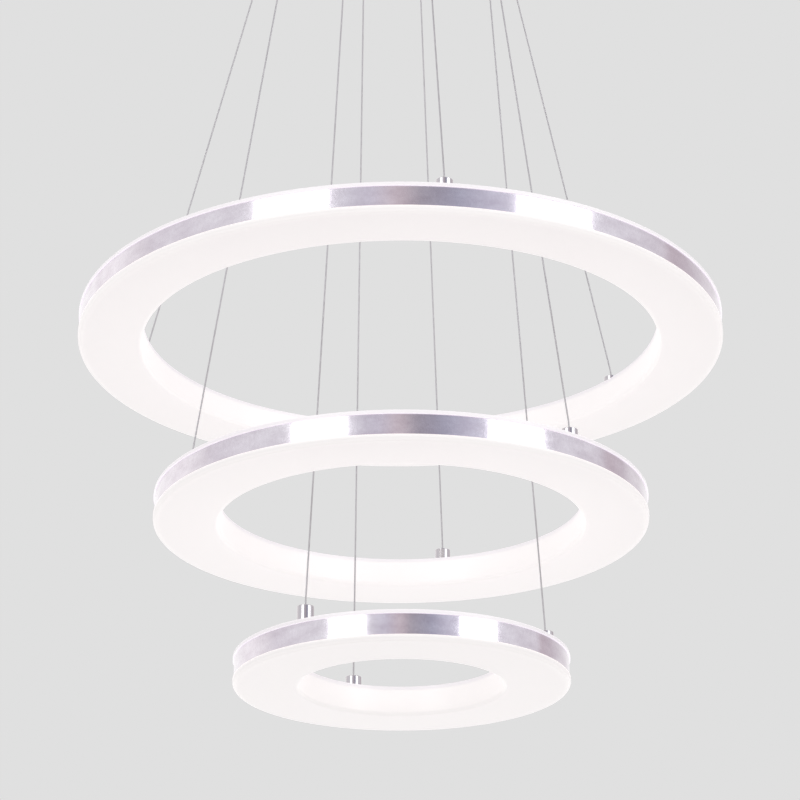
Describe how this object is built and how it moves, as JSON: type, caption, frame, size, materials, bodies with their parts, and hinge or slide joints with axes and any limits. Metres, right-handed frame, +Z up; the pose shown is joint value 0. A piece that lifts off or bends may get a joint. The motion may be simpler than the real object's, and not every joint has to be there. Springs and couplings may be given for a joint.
{
  "type": "led ring chandelier",
  "caption": "Pendant light of concentric glowing opal rings with polished metal bands, stepped from large to small and hung on thin wires from a round ceiling canopy.",
  "frame": {"origin": "centre of the canopy's rim, on the ceiling", "axes": "+Z up into the ceiling, so the rings hang below zero; -Y towards the viewer of the picture; +X to the viewer's right"},
  "size_m": [0.4, 0.4, 0.78],
  "materials": {
    "canopy_chrome": "mirror polished plated steel",
    "bracket_steel": "zinc plated strip",
    "fitting_chrome": "polished plated turned metal",
    "plunger_chrome": "polished plated turned metal",
    "brass_fitting": "plain brass",
    "foam_tape": "closed cell foam tape",
    "terminal_plastic": "moulded nylon",
    "lead_insulation": "silicone insulation",
    "bush_plastic": "white nylon",
    "spring_steel": "bright spring wire",
    "nut_steel": "zinc plated",
    "screw_steel": "bright plated",
    "wire_steel": "thin clear-coated strand",
    "driver_plastic": "white moulded case",
    "opal_diffuser": "lit opal acrylic, satin",
    "opal_cover": "opal acrylic, satin",
    "band_metal": "polished metal strip with fine brushing",
    "led_board": "white coated aluminium board",
    "led_lens": "LED package"
  },
  "bodies": {
    "canopy": {"canopy_cover": "canopy_chrome", "ceiling_bracket": "bracket_steel", "canopy_side_screws": "fitting_chrome", "earth_screw": "brass_fitting", "large_ring_driver": "driver_plastic", "medium_ring_driver": "driver_plastic", "small_ring_driver": "driver_plastic", "driver_tapes": "foam_tape", "mains_terminal_block": "terminal_plastic", "mains_leads": "lead_insulation", "grip_bushes": "bush_plastic", "grip_barrels": "fitting_chrome", "grip_springs": "spring_steel", "grip_nuts": "nut_steel", "wire_tails": "wire_steel"},
    "large_ring": {"large_diffuser": "opal_diffuser", "large_top_cover": "opal_cover", "large_outer_band": "band_metal", "large_led_board": "led_board", "large_leds": "led_lens", "large_wire_studs": "fitting_chrome", "large_stud_nuts": "nut_steel", "large_wire_crimps": "brass_fitting", "large_cover_screws": "screw_steel", "large_wire_1": "wire_steel", "large_wire_2": "wire_steel", "large_wire_3": "wire_steel"},
    "medium_ring": {"medium_diffuser": "opal_diffuser", "medium_top_cover": "opal_cover", "medium_outer_band": "band_metal", "medium_led_board": "led_board", "medium_leds": "led_lens", "medium_wire_studs": "fitting_chrome", "medium_stud_nuts": "nut_steel", "medium_wire_crimps": "brass_fitting", "medium_cover_screws": "screw_steel", "medium_wire_1": "wire_steel", "medium_wire_2": "wire_steel", "medium_wire_3": "wire_steel"},
    "small_ring": {"small_diffuser": "opal_diffuser", "small_top_cover": "opal_cover", "small_outer_band": "band_metal", "small_led_board": "led_board", "small_leds": "led_lens", "small_wire_studs": "fitting_chrome", "small_stud_nuts": "nut_steel", "small_wire_crimps": "brass_fitting", "small_cover_screws": "screw_steel", "small_wire_1": "wire_steel", "small_wire_2": "wire_steel", "small_wire_3": "wire_steel"},
    "large_plunger_1": {"large_plunger_1": "plunger_chrome"},
    "large_plunger_2": {"large_plunger_2": "plunger_chrome"},
    "large_plunger_3": {"large_plunger_3": "plunger_chrome"},
    "medium_plunger_1": {"medium_plunger_1": "plunger_chrome"},
    "medium_plunger_2": {"medium_plunger_2": "plunger_chrome"},
    "medium_plunger_3": {"medium_plunger_3": "plunger_chrome"},
    "small_plunger_1": {"small_plunger_1": "plunger_chrome"},
    "small_plunger_2": {"small_plunger_2": "plunger_chrome"},
    "small_plunger_3": {"small_plunger_3": "plunger_chrome"}
  },
  "joints": [
    {"name": "large_ring_height", "type": "slide", "parent": "canopy", "child": "large_ring", "axis": [0, 0, 1], "range_m": [0, 0.2], "deforming": ["large_wire_1", "large_wire_2", "large_wire_3"]},
    {"name": "medium_ring_height", "type": "slide", "parent": "canopy", "child": "medium_ring", "axis": [0, 0, 1], "range_m": [0, 0.2], "deforming": ["medium_wire_1", "medium_wire_2", "medium_wire_3"]},
    {"name": "small_ring_height", "type": "slide", "parent": "canopy", "child": "small_ring", "axis": [0, 0, 1], "range_m": [0, 0.2], "deforming": ["small_wire_1", "small_wire_2", "small_wire_3"]},
    {"name": "large_grip_release_1", "type": "slide", "parent": "canopy", "child": "large_plunger_1", "axis": [0, 0, 1], "range_m": [0, 0.0015], "stiffness_N_per_m": 200, "springref_m": -0.003, "deforming": ["grip_springs"]},
    {"name": "large_grip_release_2", "type": "slide", "parent": "canopy", "child": "large_plunger_2", "axis": [0, 0, 1], "range_m": [0, 0.0015], "stiffness_N_per_m": 200, "springref_m": -0.003, "deforming": ["grip_springs"]},
    {"name": "large_grip_release_3", "type": "slide", "parent": "canopy", "child": "large_plunger_3", "axis": [0, 0, 1], "range_m": [0, 0.0015], "stiffness_N_per_m": 200, "springref_m": -0.003, "deforming": ["grip_springs"]},
    {"name": "medium_grip_release_1", "type": "slide", "parent": "canopy", "child": "medium_plunger_1", "axis": [0, 0, 1], "range_m": [0, 0.0015], "stiffness_N_per_m": 200, "springref_m": -0.003, "deforming": ["grip_springs"]},
    {"name": "medium_grip_release_2", "type": "slide", "parent": "canopy", "child": "medium_plunger_2", "axis": [0, 0, 1], "range_m": [0, 0.0015], "stiffness_N_per_m": 200, "springref_m": -0.003, "deforming": ["grip_springs"]},
    {"name": "medium_grip_release_3", "type": "slide", "parent": "canopy", "child": "medium_plunger_3", "axis": [0, 0, 1], "range_m": [0, 0.0015], "stiffness_N_per_m": 200, "springref_m": -0.003, "deforming": ["grip_springs"]},
    {"name": "small_grip_release_1", "type": "slide", "parent": "canopy", "child": "small_plunger_1", "axis": [0, 0, 1], "range_m": [0, 0.0015], "stiffness_N_per_m": 200, "springref_m": -0.003, "deforming": ["grip_springs"]},
    {"name": "small_grip_release_2", "type": "slide", "parent": "canopy", "child": "small_plunger_2", "axis": [0, 0, 1], "range_m": [0, 0.0015], "stiffness_N_per_m": 200, "springref_m": -0.003, "deforming": ["grip_springs"]},
    {"name": "small_grip_release_3", "type": "slide", "parent": "canopy", "child": "small_plunger_3", "axis": [0, 0, 1], "range_m": [0, 0.0015], "stiffness_N_per_m": 200, "springref_m": -0.003, "deforming": ["grip_springs"]}
  ]
}
